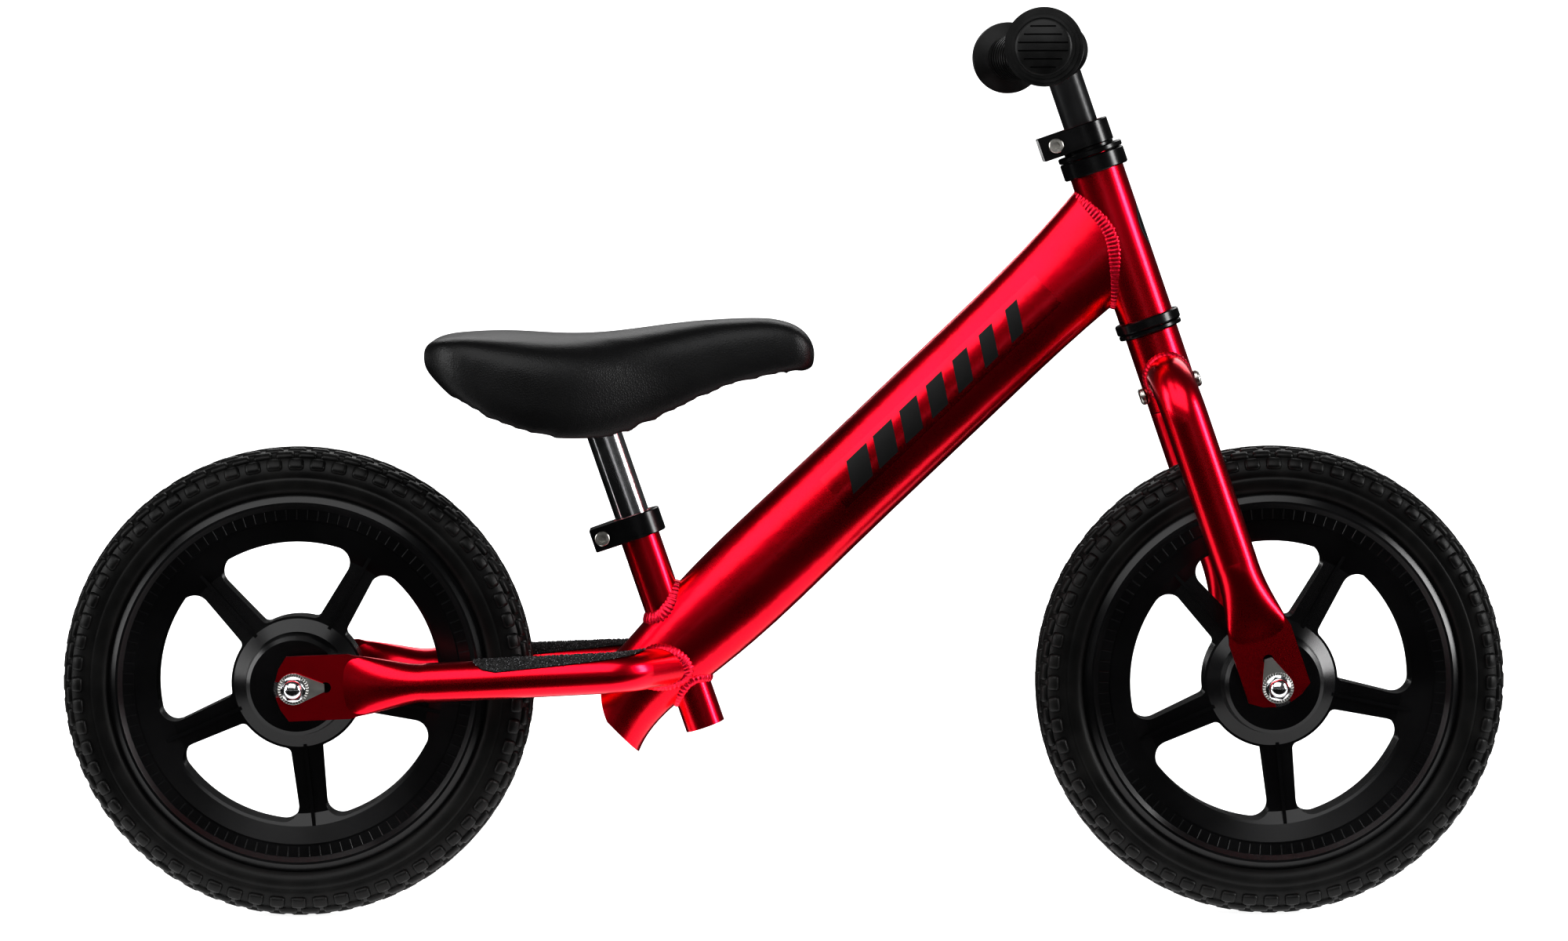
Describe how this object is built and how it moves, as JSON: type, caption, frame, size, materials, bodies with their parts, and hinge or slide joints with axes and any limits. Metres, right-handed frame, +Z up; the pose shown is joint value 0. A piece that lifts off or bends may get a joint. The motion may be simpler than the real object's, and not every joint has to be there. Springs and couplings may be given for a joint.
{
  "type": "balance bike",
  "caption": "Child's balance bike: red oval-tube frame with footrest stays, turning fork, spoked black wheels with foam tyres, T-bar and height-adjustable saddle.",
  "frame": {"origin": "on the ground, midway between the two axles and on the bike's middle plane", "axes": "+X forward, +Y to the rider's left, +Z up"},
  "size_m": [0.92, 0.3922, 0.5738],
  "materials": {
    "red_anodised": "satin metallic red anodising over aluminium",
    "grip_tape": "coarse black grit",
    "black_anodised": "gloss black anodising",
    "black_painted_steel": "satin black paint",
    "bright_steel": "turned steel",
    "chrome": "mirror chrome",
    "zinc_steel": "bright zinc plate",
    "wheel_plastic": "glossy moulded black",
    "foam_tyre": "satin moulded foam",
    "grip_rubber": "satin moulded rubber",
    "seat_plastic": "fine texture",
    "saddle_vinyl": "fine-grained black vinyl"
  },
  "bodies": {
    "frame": {"main_tube": "red_anodised", "head_tube": "red_anodised", "seat_tube": "red_anodised", "stay_left": "red_anodised", "stay_right": "red_anodised", "foot_pad_left": "grip_tape", "foot_pad_right": "grip_tape", "seat_clamp": "black_anodised", "seat_clamp_screw": "zinc_steel", "headset_lower_cup": "black_anodised", "headset_upper_cup": "black_anodised", "headset_lower_bearing": "bright_steel", "headset_upper_bearing": "bright_steel", "rear_axle": "bright_steel", "rear_axle_collars": "bright_steel", "rear_axle_nuts": "chrome", "rear_tab_washers": "zinc_steel"},
    "rear_wheel": {"rear_rim": "wheel_plastic", "rear_tyre": "foam_tyre", "rear_hub_bearings": "bright_steel"},
    "fork": {"steerer_tube": "red_anodised", "fork_crown": "red_anodised", "crown_race": "black_anodised", "headset_top_cover": "black_anodised", "fork_leg_left": "red_anodised", "fork_leg_right": "red_anodised", "bar_clamp": "black_anodised", "bar_clamp_screw": "zinc_steel", "crown_screws": "zinc_steel", "front_axle": "bright_steel", "front_axle_collars": "bright_steel", "front_axle_nuts": "chrome", "front_tab_washers": "zinc_steel"},
    "front_wheel": {"front_rim": "wheel_plastic", "front_tyre": "foam_tyre", "front_hub_bearings": "bright_steel"},
    "handlebar_unit": {"handlebar": "black_painted_steel", "grip_left": "grip_rubber", "grip_right": "grip_rubber"},
    "saddle_unit": {"seat_post": "chrome", "saddle_bracket": "seat_plastic", "saddle_base": "seat_plastic", "saddle_screws": "zinc_steel", "saddle_pad": "saddle_vinyl"}
  },
  "joints": [
    {"name": "steering", "type": "hinge", "parent": "frame", "child": "fork", "pos_m": [0.31, 0, 0.15], "axis": [-0.3256, 0, 0.9455], "continuous": true},
    {"name": "rear_wheel_spin", "type": "hinge", "parent": "frame", "child": "rear_wheel", "pos_m": [-0.31, 0, 0.15], "axis": [0, 1, 0], "continuous": true},
    {"name": "front_wheel_spin", "type": "hinge", "parent": "fork", "child": "front_wheel", "pos_m": [0.31, 0, 0.15], "axis": [0, 1, 0], "continuous": true},
    {"name": "handlebar_height", "type": "slide", "parent": "fork", "child": "handlebar_unit", "axis": [-0.3256, 0, 0.9455], "range_m": [-0.03, 0.04]},
    {"name": "saddle_height", "type": "slide", "parent": "frame", "child": "saddle_unit", "axis": [-0.3256, 0, 0.9455], "range_m": [-0.025, 0.05]}
  ]
}
